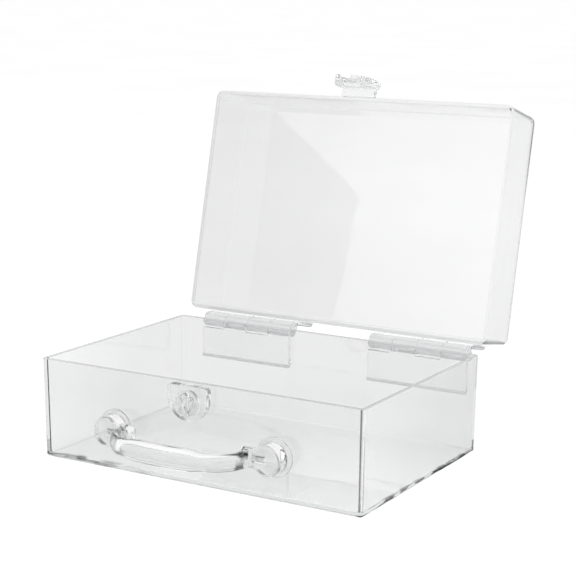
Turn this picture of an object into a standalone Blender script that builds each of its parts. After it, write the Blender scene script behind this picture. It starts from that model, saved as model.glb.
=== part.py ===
"""Clear plastic storage box made like a small suitcase.

Two moulded trays are joined by two glued hinges and closed by a turn-button clasp.
A bow handle turns in two round feet on the front.  The lid stands open.
Metres, +Z up, +X to the right, front at -Y.  The origin is the middle of the underside.
"""

import math

import bmesh
import bpy
from mathutils import Matrix, Vector

MM = 0.001

# Trays
BOX_WIDTH = 208 * MM
BOX_DEPTH = 142 * MM
BASE_HEIGHT = 58 * MM
LID_HEIGHT = 37 * MM
WALL = 2.2 * MM
DRAFT = 0.8 * MM
BASE_CORNER_RADIUS = 2 * MM
BASE_EDGE_RADIUS = 1.6 * MM
LID_CORNER_RADIUS = 5 * MM
LID_EDGE_RADIUS = 2.6 * MM
INNER_CORNER_RADIUS = 1.3 * MM
INNER_EDGE_RADIUS = 0.7 * MM
RIM_GAP = 0.4 * MM
RIM_EASE = 0.35 * MM

# Fits
GLUE_GAP = 0.3 * MM
RUNNING_GAP = 0.3 * MM
CUT_OVERRUN = 1 * MM

# Hinges
LID_OPEN_ANGLE = math.radians(103.2)
HINGE_LENGTH = 64 * MM
LEFT_HINGE_X = -56.2 * MM
RIGHT_HINGE_X = 62.8 * MM
AXIS_BEHIND_WALL = 5.7 * MM
AXIS_BELOW_RIM = 1.5 * MM
LEAF_THICKNESS = 2.8 * MM
LEAF_REACH = 23.6 * MM
LEAF_CORNER = 2.4 * MM
KNUCKLE_RADIUS = 4.4 * MM
KNUCKLE_COUNT = 4
LEAF_EASE = 0.45 * MM
PIN_RADIUS = 1.5 * MM
PIN_HEAD_RADIUS = 2.6 * MM
PIN_HEAD_THICKNESS = 0.9 * MM

# Clasp plate and its turn button
CLASP_X = -1 * MM
PLATE_WIDTH = 25 * MM
PLATE_HEIGHT = 19.6 * MM
PLATE_THICKNESS = 4.4 * MM
PLATE_BELOW_RIM = 1.3 * MM
PLATE_CORNER = 1.5 * MM
PLATE_EASE = 0.6 * MM
BUTTON_BELOW_RIM = 11.3 * MM
BUTTON_RADIUS = 7.6 * MM
BUTTON_THICKNESS = 2 * MM
BUTTON_EASE = 0.4 * MM
GRIP_LENGTH = 13.8 * MM
GRIP_WIDTH = 4.2 * MM
GRIP_HEIGHT = 4.4 * MM
SPINDLE_RADIUS = 2.2 * MM
SPINDLE_HEAD_RADIUS = 3.4 * MM
SPINDLE_HEAD_THICKNESS = 0.7 * MM
SPINDLE_POCKET_DEPTH = 1.3 * MM

# Clasp tongue
TONGUE_WIDTH = 27 * MM
TONGUE_REACH = 19 * MM
TONGUE_ABOVE_RIM = 4.6 * MM
TONGUE_BEND = 0.7 * MM
TONGUE_THICKNESS = 4.8 * MM
TONGUE_SHOULDER_DROP = 1.6 * MM
TONGUE_SHOULDER_POWER = 4
TONGUE_BEND_POWER = 1.5
TONGUE_EASE = 0.6 * MM
NECK_WIDTH = 22.5 * MM
NECK_ABOVE_RIM = 0.4 * MM
WINDOW_GAP = 0.5 * MM
MOUTH_WIDTH = 7 * MM
CLASP_GAP = 1 * MM

# Handle
HANDLE_X = 0.5 * MM
FOOT_SPREAD = 51.5 * MM
FOOT_HEIGHT = 25 * MM
FLANGE_RADIUS = 11 * MM
FLANGE_THICKNESS = 1.6 * MM
HUB_RADIUS = 8.5 * MM
HUB_REACH = 11.4 * MM
HUB_EASE = 2 * MM
HUB_FILLET = 1 * MM
HUB_FLAT = 8 * MM
SEAT_DEPTH = 0.3 * MM
PIVOT_OUT = 7.9 * MM
PIVOT_PIN_RADIUS = 2 * MM
PIVOT_PIN_LENGTH = 7.2 * MM
EYE_RADIUS = 5.6 * MM
ARM_WIDTH = 6 * MM
ARM_HEIGHT = 9.6 * MM
BOW_REACH = 30.5 * MM
BOW_SHOULDER_X = 22 * MM
BOW_SHOULDER_REACH = 29.4 * MM
BOW_BEND_SHARE = 0.62
GRIP_SWELL_THICK = 1.2 * MM
GRIP_SWELL_TALL = 2.8 * MM
GRIP_HALF_LENGTH = 15 * MM
GRIP_FADE = 11 * MM
BOW_SQUARENESS = 2.6

# Facets
CORNER_STEPS = 6
EDGE_STEPS = 4
ROUND_SIDES = 32
SMALL_SIDES = 24
BOW_SIDES = 16
BOW_STEPS = 14
EASE_STEPS = 2
SMOOTH_ANGLE = math.radians(35)
RIM_ANGLE = math.radians(60)
WELD_DISTANCE = 0.001 * MM

# Places worked out from the sizes above
FRONT_WALL_Y = -BOX_DEPTH / 2
BACK_WALL_Y = BOX_DEPTH / 2
LID_RIM_Z = BASE_HEIGHT + RIM_GAP
HINGE_AXIS = Vector((0, BACK_WALL_Y + AXIS_BEHIND_WALL, BASE_HEIGHT - AXIS_BELOW_RIM))
PIN_BORE_RADIUS = PIN_RADIUS + RUNNING_GAP
KNUCKLE_LENGTH = HINGE_LENGTH / KNUCKLE_COUNT
BUTTON_HEIGHT = BASE_HEIGHT - BUTTON_BELOW_RIM
BUTTON_CENTRE = Vector((CLASP_X, FRONT_WALL_Y - GLUE_GAP, BUTTON_HEIGHT))
PIVOT_Y = FRONT_WALL_Y - PIVOT_OUT
PIVOT_AXIS = Vector((HANDLE_X, PIVOT_Y, FOOT_HEIGHT))
ARM_X = FOOT_SPREAD - HUB_FLAT - RUNNING_GAP - ARM_WIDTH / 2

CLEAR_COLOUR = (0.95, 0.96, 0.96, 1)
CLEAR_ALPHA = 0.25
CLEAR_ROUGHNESS = 0.05

# Turns local XY outlines into the planes that they are drawn for
PROFILE_ALONG_X = (math.radians(90), 0, math.radians(90))
OUTLINE_FACING_FRONT = (math.radians(90), 0, 0)


def clear_scene():
    """Remove what a new scene holds."""
    for item in list(bpy.data.objects):
        bpy.data.objects.remove(item, do_unlink=True)


def make_collection(name):
    """A collection linked to the scene."""
    group = bpy.data.collections.new(name)
    bpy.context.scene.collection.children.link(group)
    return group


def clear_plastic(name):
    """A clear plastic with its own name."""
    material = bpy.data.materials.new(name)
    material.use_nodes = True
    shader = material.node_tree.nodes["Principled BSDF"]
    shader.inputs["Base Color"].default_value = CLEAR_COLOUR
    shader.inputs["Roughness"].default_value = CLEAR_ROUGHNESS
    shader.inputs["Metallic"].default_value = 0
    shader.inputs["Alpha"].default_value = CLEAR_ALPHA
    return material


def add_part(name, mesh):
    """Put a mesh in the parts collection as a named sub-part of clear plastic."""
    part = bpy.data.objects.new(name, mesh)
    PARTS.objects.link(part)
    mesh.materials.clear()
    mesh.materials.append(clear_plastic(name + "_plastic"))
    return part


def add_cutter(name, mesh):
    """Put a mesh in the cutters collection."""
    cutter = bpy.data.objects.new(name, mesh)
    cutter.display_type = "WIRE"
    cutter.hide_render = True
    CUTTERS.objects.link(cutter)
    return cutter


def boolean(part, other, operation="DIFFERENCE"):
    """Cut, join or trim a part by another object."""
    modifier = part.modifiers.new(operation.lower() + "_" + other.name, "BOOLEAN")
    modifier.operation = operation
    modifier.solver = "EXACT"
    modifier.object = other


def ease_edges(part, width):
    """Round the sharp edges of a part."""
    bevel = part.modifiers.new("eased_edges", "BEVEL")
    bevel.width = width
    bevel.segments = EASE_STEPS
    bevel.limit_method = "ANGLE"
    bevel.angle_limit = RIM_ANGLE


def smooth(part):
    """Shade the round faces of a part smooth."""
    part.data.shade_smooth()
    part.data.set_sharp_from_angle(angle=SMOOTH_ANGLE)


def finished_mesh(source):
    """The evaluated mesh of an object, its caps welded, and the object removed."""
    graph = bpy.context.evaluated_depsgraph_get()
    mesh = bpy.data.meshes.new_from_object(source.evaluated_get(graph))
    bm = bmesh.new()
    bm.from_mesh(mesh)
    bmesh.ops.remove_doubles(bm, verts=bm.verts, dist=WELD_DISTANCE)
    bm.to_mesh(mesh)
    bm.free()
    bpy.data.objects.remove(source, do_unlink=True)
    return mesh


def outline_mesh(name, points, thickness):
    """A flat outline as a filled 2D curve, extruded by its thickness about its own plane."""
    curve = bpy.data.curves.new(name, "CURVE")
    curve.dimensions = "2D"
    curve.fill_mode = "BOTH"
    curve.extrude = thickness / 2
    spline = curve.splines.new("POLY")
    spline.points.add(len(points) - 1)
    for slot, (x, y) in zip(spline.points, points):
        slot.co = (x, y, 0, 1)
    spline.use_cyclic_u = True
    holder = bpy.data.objects.new(name, curve)
    bpy.context.scene.collection.objects.link(holder)
    bpy.context.view_layer.update()
    return finished_mesh(holder)


def arc(centre, radius, start, end, steps):
    """Points along an arc, its angles in degrees."""
    points = []
    for step in range(steps + 1):
        angle = math.radians(start + (end - start) * step / steps)
        points.append((centre[0] + radius * math.cos(angle), centre[1] + radius * math.sin(angle)))
    return points


def block_mesh(name, low, high):
    """A box between two corners."""
    bm = bmesh.new()
    bmesh.ops.create_cube(bm, size=1)
    low = Vector(low)
    high = Vector(high)
    size = high - low
    bmesh.ops.scale(bm, vec=size, verts=bm.verts)
    bmesh.ops.translate(bm, vec=(low + high) / 2, verts=bm.verts)
    mesh = bpy.data.meshes.new(name)
    bm.to_mesh(mesh)
    bm.free()
    return mesh


def cylinder_mesh(name, radius, start, end, sides=SMALL_SIDES):
    """A capped cylinder between two points."""
    start = Vector(start)
    end = Vector(end)
    along = end - start
    bm = bmesh.new()
    bmesh.ops.create_cone(
        bm,
        cap_ends=True,
        segments=sides,
        radius1=radius,
        radius2=radius,
        depth=along.length,
    )
    turn = Vector((0, 0, 1)).rotation_difference(along).to_matrix().to_4x4()
    bmesh.ops.transform(bm, matrix=Matrix.Translation((start + end) / 2) @ turn, verts=bm.verts)
    mesh = bpy.data.meshes.new(name)
    bm.to_mesh(mesh)
    bm.free()
    return mesh


def turned_mesh(name, profile, sides=ROUND_SIDES):
    """A solid of revolution about Z: the profile runs down its outer side, axis to axis."""
    bm = bmesh.new()
    rail = [bm.verts.new((radius, 0, height)) for radius, height in profile]
    for first, second in zip(rail, rail[1:]):
        bm.edges.new((first, second))
    mesh = bpy.data.meshes.new(name)
    bm.to_mesh(mesh)
    bm.free()
    holder = bpy.data.objects.new(name, mesh)
    bpy.context.scene.collection.objects.link(holder)
    screw = holder.modifiers.new("turn", "SCREW")
    screw.steps = sides
    screw.render_steps = sides
    screw.use_merge_vertices = True
    screw.merge_threshold = WELD_DISTANCE
    bpy.context.view_layer.update()
    return finished_mesh(holder)


def drafted_box(name, width, depth, low, high, draft, corner, edge):
    """A solid box, narrower at its low end, its upright and low edges rounded."""
    bm = bmesh.new()
    bmesh.ops.create_cube(bm, size=1)
    for vert in bm.verts:
        inset = draft if vert.co.z < 0 else 0
        vert.co.x *= width - 2 * inset
        vert.co.y *= depth - 2 * inset
        vert.co.z = high if vert.co.z > 0 else low
    middle = (low + high) / 2
    for offset, steps, pick in ((corner, CORNER_STEPS, is_upright), (edge, EDGE_STEPS, is_low)):
        edges = [item for item in bm.edges if pick(item, middle)]
        bmesh.ops.bevel(
            bm,
            geom=edges,
            offset=offset,
            offset_type="OFFSET",
            segments=steps,
            profile=0.5,
            affect="EDGES",
        )
    mesh = bpy.data.meshes.new(name)
    bm.to_mesh(mesh)
    bm.free()
    return mesh


def is_upright(edge, middle):
    """Whether an edge joins the low end of a box to its high end."""
    heights = sorted(vert.co.z for vert in edge.verts)
    return heights[0] < middle < heights[1]


def is_low(edge, middle):
    """Whether an edge lies at the low end of a box."""
    return max(vert.co.z for vert in edge.verts) < middle


def make_tray(name, height, corner, edge):
    """A moulded tray: a drafted block less a drafted cavity, with an eased rim."""
    outer = drafted_box(name, BOX_WIDTH, BOX_DEPTH, 0, height, DRAFT, corner, edge)
    tray = add_part(name, outer)
    slope = DRAFT / height
    flare = 2 * slope * CUT_OVERRUN
    width = BOX_WIDTH - 2 * WALL + flare
    depth = BOX_DEPTH - 2 * WALL + flare
    top = height + CUT_OVERRUN
    inner_draft = slope * (top - WALL)
    inner_corner = max(corner - WALL, INNER_CORNER_RADIUS)
    inner_edge = max(edge - WALL, INNER_EDGE_RADIUS)
    label = name + "_cavity"
    cavity = add_cutter(
        label,
        drafted_box(label, width, depth, WALL, top, inner_draft, inner_corner, inner_edge),
    )
    boolean(tray, cavity)
    ease_edges(tray, RIM_EASE)
    smooth(tray)
    return tray, cavity


def carry_on(piece, axis_empty, axis_point):
    """Let a piece, placed as if the lid were shut, turn with an empty on its joint's axis."""
    piece.parent = axis_empty
    piece.matrix_parent_inverse = Matrix.Translation(-axis_point)


def make_axis(name, point, angle=0):
    """An empty on a joint's axis, turned to its pose as photographed."""
    empty = bpy.data.objects.new(name, None)
    empty.location = point
    empty.rotation_euler = (angle, 0, 0)
    PARTS.objects.link(empty)
    return empty


def leaf_profile(start):
    """Side of a hinge leaf about its knuckle: the leaf hangs down the wall from a start height."""
    wall_side = -AXIS_BEHIND_WALL + GLUE_GAP
    outer_side = wall_side + LEAF_THICKNESS
    lower_angle = math.degrees(math.acos(-outer_side / KNUCKLE_RADIUS))
    upper_angle = math.degrees(math.asin(start / KNUCKLE_RADIUS))
    points = arc((0, 0), KNUCKLE_RADIUS, 180 + lower_angle, 540 - upper_angle, ROUND_SIDES)
    points.append((wall_side, start))
    points.append((wall_side, -LEAF_REACH))
    points += arc((outer_side - LEAF_CORNER, LEAF_CORNER - LEAF_REACH), LEAF_CORNER, 270, 360, EDGE_STEPS)
    return points


def make_leaf(name, centre_x, knuckles, upward):
    """One hinge leaf: its profile run along X, bored for the pin and notched for the other leaf."""
    if upward:
        points = [(y, -z) for y, z in leaf_profile(-AXIS_BELOW_RIM - RIM_GAP)]
    else:
        points = leaf_profile(AXIS_BELOW_RIM - RIM_EASE)
    leaf = add_part(name, outline_mesh(name, points, HINGE_LENGTH))
    leaf.rotation_euler = PROFILE_ALONG_X
    leaf.location = HINGE_AXIS + Vector((centre_x, 0, 0))
    cutters = []
    reach = KNUCKLE_RADIUS + RUNNING_GAP
    for index in range(KNUCKLE_COUNT):
        if index in knuckles:
            continue
        low_x = -HINGE_LENGTH / 2 + index * KNUCKLE_LENGTH - RUNNING_GAP / 2
        high_x = low_x + KNUCKLE_LENGTH + RUNNING_GAP
        low_x -= CUT_OVERRUN if index == 0 else 0
        high_x += CUT_OVERRUN if index == KNUCKLE_COUNT - 1 else 0
        low = (low_x, -AXIS_BEHIND_WALL - CUT_OVERRUN, -reach)
        high = (high_x, reach, reach)
        notch_name = name + "_notch_" + str(index)
        notch = add_cutter(notch_name, block_mesh(notch_name, low, high))
        notch.location = leaf.location
        boolean(leaf, notch)
        cutters.append(notch)
    ease_edges(leaf, LEAF_EASE)
    half = HINGE_LENGTH / 2 + CUT_OVERRUN
    bore_name = name + "_bore"
    bore_mesh = cylinder_mesh(bore_name, PIN_BORE_RADIUS, (-half, 0, 0), (half, 0, 0))
    bore = add_cutter(bore_name, bore_mesh)
    bore.location = leaf.location
    boolean(leaf, bore)
    cutters.append(bore)
    smooth(leaf)
    return leaf, cutters


def make_pin(name, centre_x):
    """A hinge pin: a straight shank with a low round head at each end."""
    half = HINGE_LENGTH / 2 + RUNNING_GAP
    end = half + PIN_HEAD_THICKNESS
    profile = [
        (0, end),
        (PIN_HEAD_RADIUS - PIN_HEAD_THICKNESS / 2, end),
        (PIN_HEAD_RADIUS, end - PIN_HEAD_THICKNESS / 2),
        (PIN_HEAD_RADIUS, half),
        (PIN_RADIUS, half),
        (PIN_RADIUS, -half),
        (PIN_HEAD_RADIUS, -half),
        (PIN_HEAD_RADIUS, PIN_HEAD_THICKNESS / 2 - end),
        (PIN_HEAD_RADIUS - PIN_HEAD_THICKNESS / 2, -end),
        (0, -end),
    ]
    pin = add_part(name, turned_mesh(name, profile, SMALL_SIDES))
    pin.rotation_euler = (0, math.radians(90), 0)
    pin.location = HINGE_AXIS + Vector((centre_x, 0, 0))
    smooth(pin)
    return pin


def plate_outline():
    """The D of the clasp plate: a flat top with small corners over a half round."""
    half = PLATE_WIDTH / 2
    top = BASE_HEIGHT - PLATE_BELOW_RIM
    round_centre = top - PLATE_HEIGHT + half
    points = arc((half - PLATE_CORNER, top - PLATE_CORNER), PLATE_CORNER, 0, 90, EDGE_STEPS)
    points += arc((PLATE_CORNER - half, top - PLATE_CORNER), PLATE_CORNER, 90, 180, EDGE_STEPS)
    points += arc((0, round_centre), half, 180, 360, SMALL_SIDES)
    return points


def make_clasp_plate():
    """The D-shaped block on the base, bored and recessed for the turn button."""
    plate = add_part("clasp_plate", outline_mesh("clasp_plate", plate_outline(), PLATE_THICKNESS))
    plate.rotation_euler = OUTLINE_FACING_FRONT
    plate.location = (CLASP_X, FRONT_WALL_Y - GLUE_GAP - PLATE_THICKNESS / 2, 0)
    ease_edges(plate, PLATE_EASE)
    face = BUTTON_CENTRE.y - PLATE_THICKNESS
    spans = (
        ("recess", BUTTON_RADIUS + RUNNING_GAP, face - CUT_OVERRUN, face + BUTTON_THICKNESS + RUNNING_GAP),
        ("spindle_hole", SPINDLE_RADIUS + RUNNING_GAP, face - CUT_OVERRUN, BUTTON_CENTRE.y + CUT_OVERRUN),
        (
            "pocket",
            SPINDLE_HEAD_RADIUS + RUNNING_GAP,
            BUTTON_CENTRE.y - SPINDLE_POCKET_DEPTH,
            BUTTON_CENTRE.y + CUT_OVERRUN,
        ),
    )
    for label, radius, front, back in spans:
        start = (CLASP_X, front, BUTTON_HEIGHT)
        end = (CLASP_X, back, BUTTON_HEIGHT)
        name = "plate_" + label
        cutter = add_cutter(name, cylinder_mesh(name, radius, start, end, ROUND_SIDES))
        boolean(plate, cutter)
    smooth(plate)
    return plate


def make_turn_button():
    """The turn button: a disc on a snap spindle with a rounded grip bar across its face."""
    face = PLATE_THICKNESS
    web_front = face - BUTTON_THICKNESS
    pocket_floor = SPINDLE_POCKET_DEPTH - RUNNING_GAP
    profile = [
        (0, face),
        (BUTTON_RADIUS - BUTTON_EASE, face),
        (BUTTON_RADIUS, face - BUTTON_EASE),
        (BUTTON_RADIUS, web_front),
        (SPINDLE_RADIUS, web_front),
        (SPINDLE_RADIUS, pocket_floor),
        (SPINDLE_HEAD_RADIUS, pocket_floor),
        (SPINDLE_HEAD_RADIUS, pocket_floor - SPINDLE_HEAD_THICKNESS),
        (0, pocket_floor - SPINDLE_HEAD_THICKNESS),
    ]
    button = add_part("turn_button", turned_mesh("turn_button", profile))
    button.rotation_euler = OUTLINE_FACING_FRONT
    button.location = BUTTON_CENTRE
    end_radius = GRIP_WIDTH / 2
    end_centre = GRIP_LENGTH / 2 - end_radius
    outline = arc((0, end_centre), end_radius, 0, 180, EDGE_STEPS * 2)
    outline += arc((0, -end_centre), end_radius, 180, 360, EDGE_STEPS * 2)
    bar_thickness = GRIP_HEIGHT + BUTTON_THICKNESS / 2
    bar = add_cutter("grip_bar", outline_mesh("grip_bar", outline, bar_thickness))
    bar.rotation_euler = OUTLINE_FACING_FRONT
    bar.location = BUTTON_CENTRE - Vector((0, face + GRIP_HEIGHT - bar_thickness / 2, 0))
    ease_edges(bar, BUTTON_EASE)
    boolean(button, bar, "UNION")
    smooth(button)
    return button


def tongue_profile():
    """Side of the tongue as the lid is shut: a bowed plate whose tip stands off the base."""
    underside = PLATE_THICKNESS + GLUE_GAP + CLASP_GAP
    span = TONGUE_ABOVE_RIM + TONGUE_REACH
    inner = []
    outer = []
    for step in range(ROUND_SIDES // 2 + 1):
        below_top = span * step / (ROUND_SIDES // 2)
        below_rim = below_top - TONGUE_ABOVE_RIM
        z = LID_RIM_Z - below_rim
        bend_share = max(below_rim, 0) / TONGUE_REACH
        lower = underside + TONGUE_BEND * bend_share ** TONGUE_BEND_POWER
        shoulder_share = (1 - below_top / span) ** TONGUE_SHOULDER_POWER
        upper = underside + TONGUE_THICKNESS + TONGUE_BEND * bend_share * (1 - bend_share / 2)
        upper -= TONGUE_SHOULDER_DROP * shoulder_share
        inner.append((FRONT_WALL_Y - lower, z))
        outer.append((FRONT_WALL_Y - upper, z))
    return inner + outer[::-1]


def tongue_plan():
    """Front of the tongue as the lid is shut: straight sides above the rim, half an ellipse below."""
    half = TONGUE_WIDTH / 2
    top = LID_RIM_Z + TONGUE_ABOVE_RIM
    points = arc((half - PLATE_CORNER, top - PLATE_CORNER), PLATE_CORNER, 0, 90, EDGE_STEPS)
    points += arc((PLATE_CORNER - half, top - PLATE_CORNER), PLATE_CORNER, 90, 180, EDGE_STEPS)
    for x, y in arc((0, 0), 1, 180, 360, ROUND_SIDES):
        points.append((x * half, LID_RIM_Z + y * TONGUE_REACH))
    return points


def make_clasp_tongue():
    """The tongue on the lid: a neck on the wall and a bowed plate, its window open at the tip."""
    name = "clasp_tongue"
    tongue = add_part(name, outline_mesh(name, tongue_profile(), TONGUE_WIDTH + CUT_OVERRUN))
    tongue.rotation_euler = PROFILE_ALONG_X
    tongue.location = (CLASP_X, 0, 0)
    depth = 2 * (PLATE_THICKNESS + TONGUE_THICKNESS + TONGUE_BEND) + TONGUE_WIDTH
    plan = add_cutter("tongue_plan", outline_mesh("tongue_plan", tongue_plan(), depth))
    plan.rotation_euler = OUTLINE_FACING_FRONT
    plan.location = (CLASP_X, FRONT_WALL_Y, 0)
    boolean(tongue, plan, "INTERSECT")
    window_radius = GRIP_LENGTH / 2 + WINDOW_GAP
    start = (CLASP_X, FRONT_WALL_Y - depth / 2, BUTTON_HEIGHT)
    end = (CLASP_X, FRONT_WALL_Y, BUTTON_HEIGHT)
    window_mesh = cylinder_mesh("tongue_window", window_radius, start, end, ROUND_SIDES)
    window = add_cutter("tongue_window", window_mesh)
    boolean(tongue, window)
    low = (CLASP_X - MOUTH_WIDTH / 2, start[1], LID_RIM_Z - TONGUE_REACH - CUT_OVERRUN)
    high = (CLASP_X + MOUTH_WIDTH / 2, end[1], BUTTON_HEIGHT)
    mouth = add_cutter("tongue_mouth", block_mesh("tongue_mouth", low, high))
    boolean(tongue, mouth)
    ease_edges(tongue, TONGUE_EASE)
    neck_front = FRONT_WALL_Y - PLATE_THICKNESS - TONGUE_THICKNESS / 2
    neck_top = LID_RIM_Z + TONGUE_ABOVE_RIM - TONGUE_EASE
    low = (CLASP_X - NECK_WIDTH / 2, neck_front, LID_RIM_Z + NECK_ABOVE_RIM)
    high = (CLASP_X + NECK_WIDTH / 2, FRONT_WALL_Y - GLUE_GAP, neck_top)
    neck = add_cutter("tongue_neck", block_mesh("tongue_neck", low, high))
    boolean(tongue, neck, "UNION")
    smooth(tongue)
    return tongue, [plan, window, mouth, neck]


def make_foot(name, side):
    """A handle foot: a flange and hub turned about Y, cut flat and bored for the bow's pin."""
    fillet = arc((HUB_RADIUS + HUB_FILLET, FLANGE_THICKNESS + HUB_FILLET), HUB_FILLET, 180, 270, EDGE_STEPS)
    profile = [(0, HUB_REACH)]
    profile += arc((HUB_RADIUS - HUB_EASE, HUB_REACH - HUB_EASE), HUB_EASE, 90, 0, EDGE_STEPS + 1)
    profile += fillet
    rim = FLANGE_THICKNESS / 2
    profile += arc((FLANGE_RADIUS - rim, rim), rim, 90, -90, EDGE_STEPS + 1)
    profile.append((0, 0))
    foot = add_part(name, turned_mesh(name, profile))
    foot.rotation_euler = OUTLINE_FACING_FRONT
    foot.location = (HANDLE_X + side * FOOT_SPREAD, FRONT_WALL_Y - GLUE_GAP, FOOT_HEIGHT)
    inner_x = FOOT_SPREAD - HUB_FLAT
    seat_y = FRONT_WALL_Y - GLUE_GAP - FLANGE_THICKNESS + SEAT_DEPTH
    spread = HUB_RADIUS + HUB_FILLET + CUT_OVERRUN
    edges = sorted((HANDLE_X + side * inner_x, HANDLE_X + side * (inner_x - spread)))
    low = (edges[0], PIVOT_Y - HUB_REACH, FOOT_HEIGHT - spread)
    high = (edges[1], seat_y, FOOT_HEIGHT + spread)
    flat = add_cutter(name + "_flat", block_mesh(name + "_flat", low, high))
    boolean(foot, flat)
    bore_start = PIVOT_AXIS + Vector((side * (inner_x - CUT_OVERRUN), 0, 0))
    bore_end = PIVOT_AXIS + Vector((side * (inner_x + PIVOT_PIN_LENGTH + RUNNING_GAP), 0, 0))
    bore_radius = PIVOT_PIN_RADIUS + RUNNING_GAP
    bore = add_cutter(name + "_bore", cylinder_mesh(name + "_bore", bore_radius, bore_start, bore_end))
    boolean(foot, bore)
    smooth(foot)
    return foot


def bow_path():
    """Centre line of the right half of the bow, seen from above, from the pivot to the middle."""
    start = Vector((ARM_X, PIVOT_OUT))
    shoulder = Vector((BOW_SHOULDER_X, BOW_SHOULDER_REACH))
    middle = Vector((0, BOW_REACH))
    rise = BOW_SHOULDER_REACH - PIVOT_OUT
    first_handle = start + Vector((0, rise * BOW_BEND_SHARE))
    tangent = (shoulder - middle).normalized()
    second_handle = shoulder + tangent * (ARM_X - BOW_SHOULDER_X) * BOW_BEND_SHARE
    points = []
    for step in range(BOW_STEPS + 1):
        share = step / BOW_STEPS
        rest = 1 - share
        point = start * rest ** 3 + first_handle * 3 * rest ** 2 * share
        point += second_handle * 3 * rest * share ** 2 + shoulder * share ** 3
        points.append(point)
    grip_steps = BOW_STEPS // 2
    for step in range(1, grip_steps + 1):
        share = step / grip_steps
        x = BOW_SHOULDER_X * (1 - share)
        sag = (BOW_REACH - BOW_SHOULDER_REACH) * (1 - (1 - share) ** 2)
        points.append(Vector((x, BOW_SHOULDER_REACH + sag)))
    return points


def bow_section(x):
    """Half thickness and half height of the bow at a distance from its middle."""
    share = min(max((abs(x) - GRIP_HALF_LENGTH) / GRIP_FADE, 0), 1)
    swell = (1 + math.cos(share * math.pi)) / 2
    return (ARM_WIDTH + GRIP_SWELL_THICK * swell) / 2, (ARM_HEIGHT + GRIP_SWELL_TALL * swell) / 2


def bow_mesh():
    """The bow as a loft of rounded sections along its centre line."""
    right = bow_path()
    path = right + [Vector((-point.x, point.y)) for point in right[-2::-1]]
    bm = bmesh.new()
    rings = []
    for index, point in enumerate(path):
        before = path[max(index - 1, 0)]
        after = path[min(index + 1, len(path) - 1)]
        along = (after - before).normalized()
        if index in (0, len(path) - 1):
            along = Vector((0, 1 if index == 0 else -1))
        across = Vector((along.y, -along.x))
        half_thick, half_tall = bow_section(point.x)
        ring = []
        for side in range(BOW_SIDES):
            angle = 2 * math.pi * side / BOW_SIDES
            cosine = math.cos(angle)
            sine = math.sin(angle)
            power = 2 / BOW_SQUARENESS
            out = math.copysign(abs(cosine) ** power, cosine) * half_thick
            up = math.copysign(abs(sine) ** power, sine) * half_tall
            place = point + across * out
            ring.append(bm.verts.new((place.x, PIVOT_OUT - place.y, up)))
        rings.append(ring)
    for first, second in zip(rings, rings[1:]):
        for side in range(BOW_SIDES):
            following = (side + 1) % BOW_SIDES
            bm.faces.new((first[side], first[following], second[following], second[side]))
    bm.faces.new(rings[0][::-1])
    bm.faces.new(rings[-1])
    bmesh.ops.recalc_face_normals(bm, faces=bm.faces)
    mesh = bpy.data.meshes.new("handle_bow")
    bm.to_mesh(mesh)
    bm.free()
    return mesh


def make_handle():
    """The bow: its loft joined to a round eye and a pivot pin at each end."""
    bow = add_part("handle_bow", bow_mesh())
    bow.location = PIVOT_AXIS
    for side, label in ((-1, "left"), (1, "right")):
        inner = side * (ARM_X - ARM_WIDTH / 2)
        outer = side * (ARM_X + ARM_WIDTH / 2)
        tip = outer + side * PIVOT_PIN_LENGTH
        for shape, radius, start, end in (
            ("eye", EYE_RADIUS, inner, outer),
            ("pin", PIVOT_PIN_RADIUS, inner + side * CUT_OVERRUN, tip),
        ):
            name = "bow_" + shape + "_" + label
            mesh = cylinder_mesh(name, radius, (start, 0, 0), (end, 0, 0), ROUND_SIDES)
            joined = add_cutter(name, mesh)
            joined.location = PIVOT_AXIS
            boolean(bow, joined, "UNION")
    smooth(bow)
    return bow


def build():
    """Make every sub-part and open the lid."""
    make_tray("base_tray", BASE_HEIGHT, BASE_CORNER_RADIUS, BASE_EDGE_RADIUS)
    lid_axis = make_axis("lid_axis", HINGE_AXIS, -LID_OPEN_ANGLE)
    lid_pieces = list(make_tray("lid_tray", LID_HEIGHT, LID_CORNER_RADIUS, LID_EDGE_RADIUS))
    for piece in lid_pieces:
        piece.rotation_euler = (math.radians(180), 0, 0)
        piece.location = (0, 0, LID_RIM_Z + LID_HEIGHT)
    for label, centre_x in (("left", LEFT_HINGE_X), ("right", RIGHT_HINGE_X)):
        make_leaf(label + "_hinge_base_leaf", centre_x, (1, 3), False)
        lid_leaf, cutters = make_leaf(label + "_hinge_lid_leaf", centre_x, (0, 2), True)
        lid_pieces += [lid_leaf] + cutters
        make_pin(label + "_hinge_pin", centre_x)
    tongue, cutters = make_clasp_tongue()
    lid_pieces += [tongue] + cutters
    for piece in lid_pieces:
        carry_on(piece, lid_axis, HINGE_AXIS)
    make_clasp_plate()
    make_turn_button()
    make_foot("handle_foot_left", -1)
    make_foot("handle_foot_right", 1)
    make_handle()


clear_scene()
PARTS = make_collection("clear_storage_box")
CUTTERS = make_collection("cutters")
build()
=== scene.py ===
"""A clear storage box with an open lid: its looks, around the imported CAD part."""

import math

import bpy
import numpy as np
from mathutils import Matrix, Vector

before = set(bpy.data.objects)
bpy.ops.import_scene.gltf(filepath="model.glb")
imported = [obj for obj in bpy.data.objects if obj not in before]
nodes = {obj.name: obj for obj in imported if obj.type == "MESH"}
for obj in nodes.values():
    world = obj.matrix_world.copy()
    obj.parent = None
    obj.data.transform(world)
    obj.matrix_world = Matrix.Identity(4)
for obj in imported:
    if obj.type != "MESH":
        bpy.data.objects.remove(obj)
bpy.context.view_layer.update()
scene = bpy.context.scene

MM = 0.001

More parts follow.
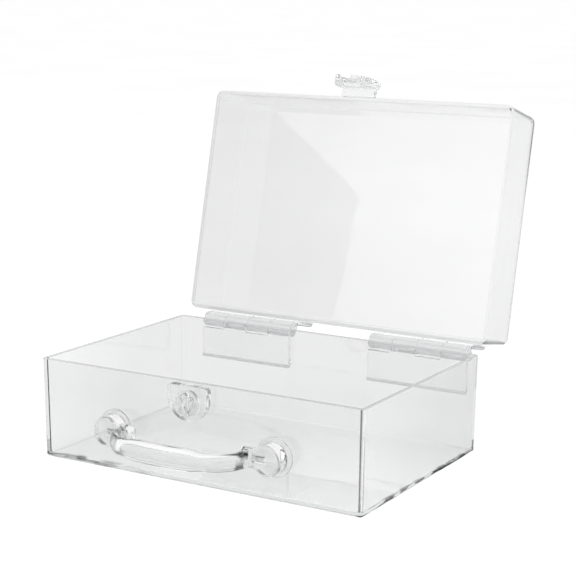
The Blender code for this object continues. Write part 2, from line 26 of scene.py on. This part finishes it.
# The camera that the photograph was taken with, in box widths and pixels of a 576 px frame.
FRAME_PX = 576
FOCAL_PX = 1592
CENTRE_PX = (284, 280)
AZIMUTH = 30.70
ELEVATION = 10.74
ROLL = 0.45
OFFSET_RIGHT = 0.062
OFFSET_UP = 0.485
DISTANCE = 4.454
BOX_WIDTH = 208 * MM
BASE_DEPTH = 142 * MM
BASE_RIM = 57.5 * MM
WALL_LEAN = 0.8 / 58
INNER_CORNER = (100.5 * MM, -67.6 * MM)
LEAF_FOOT = Vector((0, 72.7 * MM, 32.9 * MM))
LID_BEHIND = 5.7 * MM
LID_OPEN = math.radians(103.2)
LID_AXIS = Vector((0, 76.7 * MM, 56.5 * MM))
LID_RIM_ABOVE_AXIS = 1.9 * MM
RIM_DEPTH = 0.5 * MM
SENSOR = 36
CLIP_START = 10 * MM

# Clear acrylic.
ACRYLIC_IOR = 1.49
TRAPPED_DEPTH = 8
LAMP_PASS_TONE = (0.975, 0.978, 0.978, 1)
ABSORB_TONE = (0.5, 0.52, 0.53, 1)
CLOUD_NOISE = (30, 3)
CLOUD_SHARE = 0.15
HAZE_NOISE = (160, 4)
HAZE_RANGE = (0.4, 0.7)
WAVE_NOISE = (22, 1)
WAVE_HEIGHT = 2 * MM
EDGE_RANGE = (0.62, 0.97)
EDGE_BLEND = 0.5
SAME_POINT = 0.002 * MM
ROUND_LIMIT = math.radians(38)
RIM_FADE = 0.2 * MM
# Rim looks (light let through, grey tone): painted light for the edge-lit acrylic rims.
BASE_RIM_LOOK = (0.35, (0.62, 0.622, 0.624))
LID_RIM_LOOK = (0.2, (0.88, 0.882, 0.884))

# Marks laid into the plastic, where the photograph shows dark refractions.
# Painted shade: marks in SHADE_TONE stand in for those dark refractions; MILK_TONE gives milky
# bands.
SHADE_TONE = (0.02, 0.0205, 0.021)
MILK_TONE = (0.76, 0.765, 0.77)
LID_LEAN = 0.8 / 37
# Painted shade: dark wavy streaks low on the base.
STREAK_STRETCH = (60, 60, 450)
STREAK_NOISE = (1, 1)
STREAK_RANGE = (0.5, 0.58)
STREAK_SHARE = 0.85
STREAK_TOP = (2.2 * MM, 3.4 * MM)
STREAK_RIGHT = (99 * MM, 101 * MM)
STREAK_LEFT = (-95 * MM, -20 * MM)
STREAK_FRONT = (-66 * MM, -62 * MM)
# Painted reflection: broken dark lines on the handle's upper surfaces.
GLINT_LEAN = 0.22
GLINT_WIDTH = (0.08, 0.16)
GLINT_UPPER = (0, 0.3)
GLINT_NOISE = (45, 1)
GLINT_RANGE = (0.42, 0.58)
GLINT_SHARES = (0.1, 0.85)

FLOOR_SIZE = 60
FLOOR_DROP = 0.4 * MM
FLOOR_NOISE_SCALE = 3
FLOOR_TONES = (0.80, 0.83)
FLOOR_GLOW = 0.26
WHITE = (1, 1, 1, 1)
WORLD_LIGHT = 0.9
CEILING_START = 0.3
CEILING_END = 0.70
CEILING_TONE = 0.15

# Studio cards in front and to the left, which the lid mirrors, in a plane of their own.
CARD_CENTRE = Vector((-0.6108, -0.9697, 0.4662))
CARD_TOWARD = Vector((-0.4641, -0.8465, 0.2612))
CARD_RIGHT = Vector((-0.8769, 0.4807, 0))
PANEL_CORNERS = ((-0.9, -0.32), (-0.9, 0.7), (0.9, 0.7), (0.9, -0.32))
FLAG_CORNERS = ((0.0015, -0.3), (0.0015, 0.0176), (0.62, 0.402), (0.62, -0.3))
PANEL_BEHIND = 0.2
PANEL_GLOW = Vector((-0.60, -1.12, 0.60))
PANEL_POWERS = (2.35, 0.0)
PANEL_REACH = 0.9
FLAG_POWER = 0.15
LAMP_AIM = Vector((0, 0, 0.1))

LIGHT_BOUNCES = 32
GLOSSY_BOUNCES = 16


def make_camera():
    azimuth = math.radians(AZIMUTH)
    elevation = math.radians(ELEVATION)
    roll = math.radians(ROLL)
    back = Vector(
        (
            math.sin(azimuth) * math.cos(elevation),
            -math.cos(azimuth) * math.cos(elevation),
            math.sin(elevation),
        )
    )
    level = Vector((0, 0, 1)).cross(back).normalized()
    upward = back.cross(level)
    right = math.cos(roll) * level + math.sin(roll) * upward
    up = -math.sin(roll) * level + math.cos(roll) * upward
    place = (back * DISTANCE + right * OFFSET_RIGHT + up * OFFSET_UP) * BOX_WIDTH
    data = bpy.data.cameras.new("camera")
    data.sensor_width = SENSOR
    data.lens = FOCAL_PX * SENSOR / FRAME_PX
    data.shift_x = 0.5 - CENTRE_PX[0] / FRAME_PX
    data.shift_y = CENTRE_PX[1] / FRAME_PX - 0.5
    data.clip_start = CLIP_START
    camera = bpy.data.objects.new("camera", data)
    turn = Matrix((right, up, back)).transposed().to_4x4()
    camera.matrix_world = Matrix.Translation(place) @ turn
    scene.collection.objects.link(camera)
    scene.camera = camera


class Tree:
    """A node tree, with short ways to add nodes and join them."""

    def __init__(self, owner, output):
        owner.use_nodes = True
        self.owner = owner
        self.nodes = owner.node_tree.nodes
        self.links = owner.node_tree.links
        self.nodes.clear()
        self.output = self.nodes.new(output)

    def add(self, kind, inputs=None, **properties):
        node = self.nodes.new(kind)
        for key, value in properties.items():
            setattr(node, key, value)
        for key, value in (inputs or {}).items():
            if isinstance(value, bpy.types.NodeSocket):
                self.links.new(value, node.inputs[key])
            else:
                node.inputs[key].default_value = value
        return node

    def math(self, operation, *values):
        inputs = dict(enumerate(values))
        return self.add("ShaderNodeMath", inputs, operation=operation).outputs[0]

    def vector(self, operation, *values, output="Vector"):
        inputs = dict(enumerate(values))
        return self.add("ShaderNodeVectorMath", inputs, operation=operation).outputs[output]

    def split(self, vector):
        return self.add("ShaderNodeSeparateXYZ", {0: vector}).outputs

    def noise(self, vector, scale, detail=2.0):
        inputs = {"Vector": vector, "Scale": scale, "Detail": detail}
        return self.add("ShaderNodeTexNoise", inputs).outputs["Fac"]

    def between(self, value, low, high, start=0.3, end=0.7, **properties):
        inputs = {"Value": value, "From Min": start, "From Max": end, "To Min": low, "To Max": high}
        return self.add("ShaderNodeMapRange", inputs, **properties).outputs["Result"]

    def tint(self, share, first, second):
        """Mixes a colour, or the outcome of another mix, with a colour."""
        node = self.add("ShaderNodeMix", {"Factor": share}, data_type="RGBA")
        if isinstance(first, bpy.types.NodeSocket):
            self.links.new(first, node.inputs["A"])
        else:
            node.inputs["A"].default_value = (*first, 1)
        node.inputs["B"].default_value = (*second, 1)
        return node.outputs["Result"]

    def mixed(self, share, first, second):
        inputs = {0: share, 1: first.outputs[0], 2: second.outputs[0]}
        return self.add("ShaderNodeMixShader", inputs)


def material_tree(name):
    return Tree(bpy.data.materials.new(name), "ShaderNodeOutputMaterial")


def line(point, direction, core, reach, shares, span=(0, 1), tone=SHADE_TONE):
    """A mark along a line, painted shade in the default tone: full within core, gone at reach.
    Its strength changes from one share to the other over the span along the line."""
    return point, direction.normalized(), core, reach, shares, span, tone


def shaded(tree, shader, share, tone):
    """Covers a share of the shader with a plain tone."""
    return tree.mixed(share, shader, tree.add("ShaderNodeBsdfDiffuse", {"Color": (*tone, 1)}))


def line_share(tree, place, mark):
    point, direction, core, reach, shares, span, _ = mark
    offset = tree.vector("SUBTRACT", place, point)
    across = tree.vector("CROSS_PRODUCT", offset, direction)
    away = tree.vector("LENGTH", across, output="Value")
    along = tree.vector("DOT_PRODUCT", offset, direction, output="Value")
    near = tree.between(away, 1, 0, core, reach)
    return tree.math("MULTIPLY", near, tree.between(along, *shares, *span))


def foot_shade_share(tree, place):
    """Painted shade: dark wavy streaks low on the right wall, and on the left part of the front
    wall.
    """
    split = tree.split(place)
    stretched = tree.vector("MULTIPLY", place, STREAK_STRETCH)
    streaks = tree.between(tree.noise(stretched, *STREAK_NOISE), 0, STREAK_SHARE, *STREAK_RANGE)
    low = tree.between(split["Z"], 1, 0, *STREAK_TOP)
    right = tree.between(split["X"], 0, 1, *STREAK_RIGHT)
    left = tree.between(split["X"], 1, 0, *STREAK_LEFT)
    front = tree.between(split["Y"], 1, 0, *STREAK_FRONT)
    where = tree.math("MAXIMUM", tree.math("MULTIPLY", left, front), right)
    return tree.math("MULTIPLY", tree.math("MULTIPLY", where, low), streaks)


def glint_shade_share(tree, place):
    """Painted reflection: broken dark lines where an upper surface leans a little to the front."""
    split = tree.split(tree.add("ShaderNodeNewGeometry").outputs["Normal"])
    off = tree.math("ABSOLUTE", tree.math("ADD", split["Y"], GLINT_LEAN))
    near = tree.between(off, 1, 0, *GLINT_WIDTH)
    upper = tree.between(split["Z"], 0, 1, *GLINT_UPPER)
    patch = tree.between(tree.noise(place, *GLINT_NOISE), *GLINT_SHARES, *GLINT_RANGE)
    return tree.math("MULTIPLY", tree.math("MULTIPLY", near, upper), patch)


def clear_plastic(
    name,
    *,
    pale,
    deep,
    trapped,
    ripple,
    frost,
    density=1.0,
    grades=(),
    rim=None,
    lines=(),
    edge_shade=None,
    foot=False,
    glint_shade=False,
):
    """Clear moulded acrylic: faint tint clouds, slow ripples of the mould, fine handling haze.
    grades are (axis, start, end, low, high): what the tint gains between start and end, painted
    light and shade along an axis.
    rim is (normal, level, look): past that level the rim lets less light through and turns grey,
    painted light that stands in for the edge-lit look of the acrylic.
    The edge tone is the tint where the surface turns away from the eye: painted shade that darkens
    the outlines.
    The line, foot and glint marks are painted into the colour: painted shade in the shade tone, and
    a milky band where a line takes the milk tone."""
    tree = material_tree(name)
    place = tree.add("ShaderNodeTexCoord").outputs["Object"]
    clouds = tree.between(tree.noise(place, *CLOUD_NOISE), 0, 1)
    # Painted light and shade: the grades shift the tint along an axis, one side of a part darker
    # and the other lighter.
    if grades:
        clouds = tree.math("MULTIPLY", clouds, CLOUD_SHARE)
        split = tree.split(place)
        for axis, start, end, low, high in grades:
            clouds = tree.math("ADD", clouds, tree.between(split[axis], low, high, start, end))
        clouds = tree.between(clouds, 0, 1, 0, 1)
    tint = tree.tint(clouds, pale, deep)
    haze = tree.between(tree.noise(place, *HAZE_NOISE), frost / 3, frost, *HAZE_RANGE)
    clear = 1.0
    # Painted light: past the rim level the plastic lets less light through and turns grey.
    if rim:
        normal, level, (see_through, rim_tone) = rim
        reach = tree.vector("DOT_PRODUCT", place, normal, output="Value")
        clear = tree.between(reach, 1, see_through, level, level + RIM_FADE)
        past = tree.between(reach, 0, 1, level, level + RIM_FADE)
        tint = tree.tint(past, tint, rim_tone)
    waves = tree.noise(place, *WAVE_NOISE)
    bump = tree.add(
        "ShaderNodeBump", {"Height": waves, "Strength": ripple, "Distance": WAVE_HEIGHT}
    ).outputs["Normal"]
    # Painted shade: the tint darkens where the surface turns away from the eye.
    if edge_shade:
        facing = tree.add("ShaderNodeLayerWeight", {"Blend": EDGE_BLEND, "Normal": bump})
        grazed = tree.between(facing.outputs["Facing"], 0, 1, *EDGE_RANGE)
        tint = tree.tint(grazed, tint, edge_shade)
    plastic = tree.add(
        "ShaderNodeBsdfPrincipled",
        {
            "Base Color": tint,
            "Roughness": haze,
            "Normal": bump,
            "IOR": ACRYLIC_IOR,
            "Transmission Weight": clear,
        },
    )
    # Painted shade where a line has the shade tone; a milky band where it has the milk tone.
    for mark in lines:
        plastic = shaded(tree, plastic, line_share(tree, place, mark), mark[-1])
    # Painted shade: dark wavy streaks low on the base.
    if foot:
        plastic = shaded(tree, plastic, foot_shade_share(tree, place), SHADE_TONE)
    # Painted reflection: broken dark lines on upper surfaces that lean to the front.
    if glint_shade:
        plastic = shaded(tree, plastic, glint_shade_share(tree, place), SHADE_TONE)
    path = tree.add("ShaderNodeLightPath").outputs
    # Light that has been trapped in the plastic for long leaves it, a little greyer.
    stuck = tree.math("GREATER_THAN", path["Ray Depth"], TRAPPED_DEPTH)
    way_out = tree.add("ShaderNodeBsdfTransparent", {"Color": (*trapped, 1)})
    body = tree.mixed(stuck, plastic, way_out)
    # Lamps and diffuse light pass straight through, so that no caustics are needed.
    lamp_pass = tree.add("ShaderNodeBsdfTransparent", {"Color": LAMP_PASS_TONE})
    light_ray = tree.math("MAXIMUM", path["Is Shadow Ray"], path["Is Diffuse Ray"])
    surface = tree.mixed(light_ray, body, lamp_pass)
    tree.links.new(surface.outputs[0], tree.output.inputs["Surface"])
    absorb = tree.add("ShaderNodeVolumeAbsorption", {"Color": ABSORB_TONE, "Density": density})
    tree.links.new(absorb.outputs[0], tree.output.inputs["Volume"])
    return tree.owner


def round_off(mesh, limit):
    """Custom normals: faces that meet at less than limit share one, weighed by their areas."""
    mesh.update()
    faces = len(mesh.polygons)
    corners = len(mesh.loops)
    normals = np.empty(faces * 3)
    areas = np.empty(faces)
    starts = np.empty(faces, int)
    totals = np.empty(faces, int)
    points = np.empty(corners, int)
    places = np.empty(len(mesh.vertices) * 3)
    mesh.polygons.foreach_get("normal", normals)
    mesh.polygons.foreach_get("area", areas)
    mesh.polygons.foreach_get("loop_start", starts)
    mesh.polygons.foreach_get("loop_total", totals)
    mesh.loops.foreach_get("vertex_index", points)
    mesh.vertices.foreach_get("co", places)
    normals = normals.reshape(-1, 3)
    face_of = np.repeat(np.arange(faces), totals)
    grid = np.round(places.reshape(-1, 3) / SAME_POINT).astype(int)
    spot_of = np.unique(grid, axis=0, return_inverse=True)[1].reshape(-1)[points]
    around = {}
    for corner, spot in enumerate(spot_of):
        around.setdefault(spot, []).append(face_of[corner])
    least = math.cos(limit)
    result = np.empty((corners, 3))
    for corner, spot in enumerate(spot_of):
        near = around[spot]
        own = normals[face_of[corner]]
        share = (normals[near] @ own > least) * areas[near]
        total = share @ normals[near]
        length = np.linalg.norm(total)
        result[corner] = total / length if length else own
    mesh.polygons.foreach_set("use_smooth", np.ones(faces, bool))
    mesh.normals_split_custom_set(result)
    mesh.update()


def dress(material, *names):
    for name in names:
        mesh = nodes[name].data
        mesh.materials.clear()
        mesh.materials.append(material)
        round_off(mesh, ROUND_LIMIT)


def make_floor():
    bpy.ops.mesh.primitive_plane_add(size=FLOOR_SIZE, location=(0, 0, -FLOOR_DROP))
    floor = bpy.context.object
    floor.name = "floor"
    tree = material_tree("pale_floor")
    place = tree.add("ShaderNodeTexCoord").outputs["Object"]
    shade = tree.between(tree.noise(place, FLOOR_NOISE_SCALE), *FLOOR_TONES)
    paint = tree.add("ShaderNodeBsdfDiffuse", {"Color": shade})
    glow = tree.add("ShaderNodeEmission", {"Color": WHITE, "Strength": FLOOR_GLOW})
    both = tree.add("ShaderNodeAddShader", {0: paint.outputs[0], 1: glow.outputs[0]})
    tree.links.new(both.outputs[0], tree.output.inputs["Surface"])
    floor.data.materials.append(tree.owner)


def make_world():
    """White for the camera, and white under a dark ceiling for glass and gloss."""
    scene.world = bpy.data.worlds.new("studio")
    tree = Tree(scene.world, "ShaderNodeOutputWorld")

    def background(strength):
        return tree.add("ShaderNodeBackground", {"Color": WHITE, "Strength": strength})

    path = tree.add("ShaderNodeLightPath").outputs
    height = tree.split(tree.add("ShaderNodeTexCoord").outputs["Generated"])["Z"]
    ceiling = tree.between(
        height, 0, 1, CEILING_START, CEILING_END, interpolation_type="SMOOTHSTEP"
    )
    studio = tree.mixed(ceiling, background(1.0), background(CEILING_TONE))
    tone = tree.mixed(path["Is Transmission Ray"], background(WORLD_LIGHT), studio)
    tone = tree.mixed(path["Is Glossy Ray"], tone, studio)
    tone = tree.mixed(path["Is Camera Ray"], tone, background(1.0))
    tree.links.new(tone.outputs[0], tree.output.inputs["Surface"])


def glossy_only(name, corners, centre, right, up):
    """A studio card that only reflections see, from its corners in its own plane."""
    mesh = bpy.data.meshes.new(name)
    points = [centre + right * across + up * along for across, along in corners]
    mesh.from_pydata(points, [], [tuple(range(len(points)))])
    card = bpy.data.objects.new(name, mesh)
    scene.collection.objects.link(card)
    card.visible_camera = False
    card.visible_diffuse = False
    card.visible_transmission = False
    card.visible_shadow = False
    return card


def make_reflections():
    """The bright panel and the dark flag that the open lid mirrors."""
    right = CARD_RIGHT.normalized()
    toward = CARD_TOWARD.normalized()
    up = right.cross(toward)
    behind = CARD_CENTRE + toward * PANEL_BEHIND
    panel = glossy_only("bright_panel", PANEL_CORNERS, behind, right, up)
    tree = material_tree("bright_panel")
    place = tree.add("ShaderNodeNewGeometry").outputs["Position"]
    away = tree.vector("DISTANCE", place, PANEL_GLOW, output="Value")
    power = tree.between(away, *PANEL_POWERS, 0.0, PANEL_REACH)
    glow = tree.add("ShaderNodeEmission", {"Strength": power})
    tree.links.new(glow.outputs[0], tree.output.inputs["Surface"])
    panel.data.materials.append(tree.owner)
    flag = glossy_only("dark_flag", FLAG_CORNERS, CARD_CENTRE, right, up)
    tree = material_tree("dark_flag")
    cloth = tree.add("ShaderNodeEmission", {"Color": WHITE, "Strength": FLAG_POWER})
    tree.links.new(cloth.outputs[0], tree.output.inputs["Surface"])
    flag.data.materials.append(tree.owner)


def make_lamp(name, *, place, size, power):
    data = bpy.data.lights.new(name, "AREA")
    data.shape = "RECTANGLE"
    data.size, data.size_y = size
    data.energy = power
    lamp = bpy.data.objects.new(name, data)
    lamp.location = place
    lamp.rotation_mode = "QUATERNION"
    lamp.rotation_quaternion = (LAMP_AIM - Vector(place)).to_track_quat("-Z", "Y")
    scene.collection.objects.link(lamp)


make_camera()
make_floor()
make_world()
make_reflections()
make_lamp("key_lamp", place=(-0.9, -1.0, 1.3), size=(0.8, 0.8), power=3)
make_lamp("fill_lamp", place=(1.4, -0.4, 1.0), size=(0.7, 0.9), power=2)

toward_rim = Vector((0, -math.sin(LID_OPEN), -math.cos(LID_OPEN)))
toward_clasp = Vector((0, -math.cos(LID_OPEN), math.sin(LID_OPEN)))
rightward = Vector((1, 0, 0))


def on_lid(across, along, height):
    """A point of the lid: from its middle, from its hinge side and up from its rim, in mm."""
    rise = LID_RIM_ABOVE_AXIS + height * MM
    return (
        LID_AXIS
        + rightward * across * MM
        + toward_clasp * (LID_BEHIND + along * MM)
        - toward_rim * rise
    )


def fillet(side, core, reach, share):
    """Painted shade: a dark line up the base's inner fillet at the front left (side -1) or the
    front right (side 1).
    """
    foot = Vector((side * INNER_CORNER[0], INNER_CORNER[1], 0))
    upward = Vector((side * WALL_LEAN, -WALL_LEAN, 1))
    return line(foot, upward, core=core * MM, reach=reach * MM, shares=(share, share))


# Painted shade: dark lines up the base's two inner front fillets.
BASE_SHADE_LINES = (
    fillet(-1, core=0.65, reach=1.1, share=0.92),
    fillet(1, core=0.1, reach=0.45, share=0.8),
)
RIM_BAND = {"core": 1.3 * MM, "reach": 1.9 * MM}
# Painted shade: dark lines along the lid's rim edges, along its right top edge and down its two
# right corners.
LID_SHADE_LINES = (
    line(on_lid(-103, 0, 0), toward_clasp, shares=(0.16, 0.16), **RIM_BAND),
    line(on_lid(-104, 141, 0), rightward, shares=(0.12, 0.06), span=(0, BOX_WIDTH), **RIM_BAND),
    line(on_lid(-104, 1, 0), rightward, shares=(0.16, 0.06), span=(0, BOX_WIDTH), **RIM_BAND),
    line(
        on_lid(104.2, 0, 34.4),
        toward_clasp,
        core=1.5 * MM,
        reach=2.4 * MM,
        shares=(0.2, 0.65),
        span=(85 * MM, 120 * MM),
    ),
    line(
        on_lid(102.8, 1.2, 0),
        toward_rim + LID_LEAN * (rightward - toward_clasp),
        core=0.5 * MM,
        reach=1.4 * MM,
        shares=(0.6, 0.6),
    ),
    line(
        on_lid(101.2, 139.2, 0),
        toward_rim + LID_LEAN * (rightward + toward_clasp),
        core=0.5 * MM,
        reach=1.3 * MM,
        shares=(0.75, 0.75),
    ),
)
HINGE_LINES = (
    line(
        LID_AXIS,
        rightward,
        core=4.5 * MM,
        reach=4.8 * MM,
        shares=(0.45, 0.45),
        tone=MILK_TONE,
    ),
    line(
        LEAF_FOOT,
        rightward,
        core=1.8 * MM,
        reach=2.4 * MM,
        shares=(0.7, 0.7),
        tone=MILK_TONE,
    ),
)
# Painted shade: dark marks down both sides of the tongue's neck.
NECK_SHADE = {
    "core": 0.5 * MM,
    "reach": 1.2 * MM,
    "shares": (0.6, 0),
    "span": (146 * MM, 148 * MM),
}
TONGUE_LINES = (
    line(
        on_lid(-1, 0, 2.3),
        toward_clasp,
        core=30 * MM,
        reach=40 * MM,
        shares=(0.2, 0.2),
        tone=MILK_TONE,
    ),
    line(on_lid(-10.2, 0, 2.3), toward_clasp, **NECK_SHADE),
    line(on_lid(8.8, 0, 2.3), toward_clasp, **NECK_SHADE),
)
base = clear_plastic(
    "clear_base",
    pale=(0.965, 0.966, 0.966),
    deep=(0.80, 0.802, 0.804),
    trapped=(0.80, 0.805, 0.81),
    ripple=0.06,
    frost=0.02,
    # Painted shade: darker towards the back and towards the left.
    grades=(
        ("Y", -BASE_DEPTH / 2, BASE_DEPTH / 2, 0.05, 1.05),
        ("X", -BOX_WIDTH / 2, BOX_WIDTH / 2, 0.28, -0.18),
    ),
    rim=(Vector((0, 0, 1)), BASE_RIM, BASE_RIM_LOOK),
    lines=BASE_SHADE_LINES,
    foot=True,
)
lid_rim = toward_rim.dot(LID_AXIS) - LID_RIM_ABOVE_AXIS - RIM_DEPTH
lid = clear_plastic(
    "clear_lid",
    pale=(0.80, 0.802, 0.802),
    deep=(0.90, 0.901, 0.902),
    trapped=(0.90, 0.902, 0.904),
    ripple=0.05,
    frost=0.05,
    density=0.6,
    # Painted light and shade: lighter towards the right, darker low down.
    grades=(
        ("X", -BOX_WIDTH / 2, BOX_WIDTH / 2, 0, 1),
        ("Z", 60 * MM, 130 * MM, -0.35, 0),
    ),
    rim=(toward_rim, lid_rim, LID_RIM_LOOK),
    lines=LID_SHADE_LINES,
)
hinge = clear_plastic(
    "clear_hinges",
    pale=(0.985, 0.986, 0.986),
    deep=(0.965, 0.967, 0.967),
    trapped=(0.90, 0.905, 0.91),
    ripple=0.10,
    frost=0.16,
    lines=HINGE_LINES,
)
handle = clear_plastic(
    "clear_handle",
    pale=(0.945, 0.946, 0.946),
    deep=(0.92, 0.922, 0.922),
    trapped=(0.30, 0.305, 0.31),
    ripple=0.16,
    frost=0.01,
    edge_shade=(0.28, 0.285, 0.29),
    glint_shade=True,
)
clasp = clear_plastic(
    "clear_clasp",
    pale=(0.965, 0.966, 0.966),
    deep=(0.945, 0.946, 0.946),
    trapped=(0.80, 0.805, 0.81),
    ripple=0.05,
    frost=0.03,
    edge_shade=(0.55, 0.555, 0.56),
)
tongue = clear_plastic(
    "clear_tongue",
    pale=(0.95, 0.951, 0.951),
    deep=(0.92, 0.921, 0.921),
    trapped=(0.85, 0.855, 0.86),
    ripple=0.05,
    frost=0.35,
    lines=TONGUE_LINES,
    edge_shade=(0.55, 0.555, 0.56),
)
dress(base, "base_tray")
dress(lid, "lid_tray")
dress(hinge, *[name for name in sorted(nodes) if "hinge" in name])
dress(handle, *[name for name in sorted(nodes) if name.startswith("handle")])
dress(clasp, "clasp_plate", "turn_button")
dress(tongue, "clasp_tongue")

scene.view_settings.view_transform = "Standard"
scene.cycles.max_bounces = LIGHT_BOUNCES
scene.cycles.transmission_bounces = LIGHT_BOUNCES
scene.cycles.glossy_bounces = GLOSSY_BOUNCES
scene.cycles.transparent_max_bounces = LIGHT_BOUNCES
scene.cycles.caustics_refractive = False
scene.cycles.caustics_reflective = False
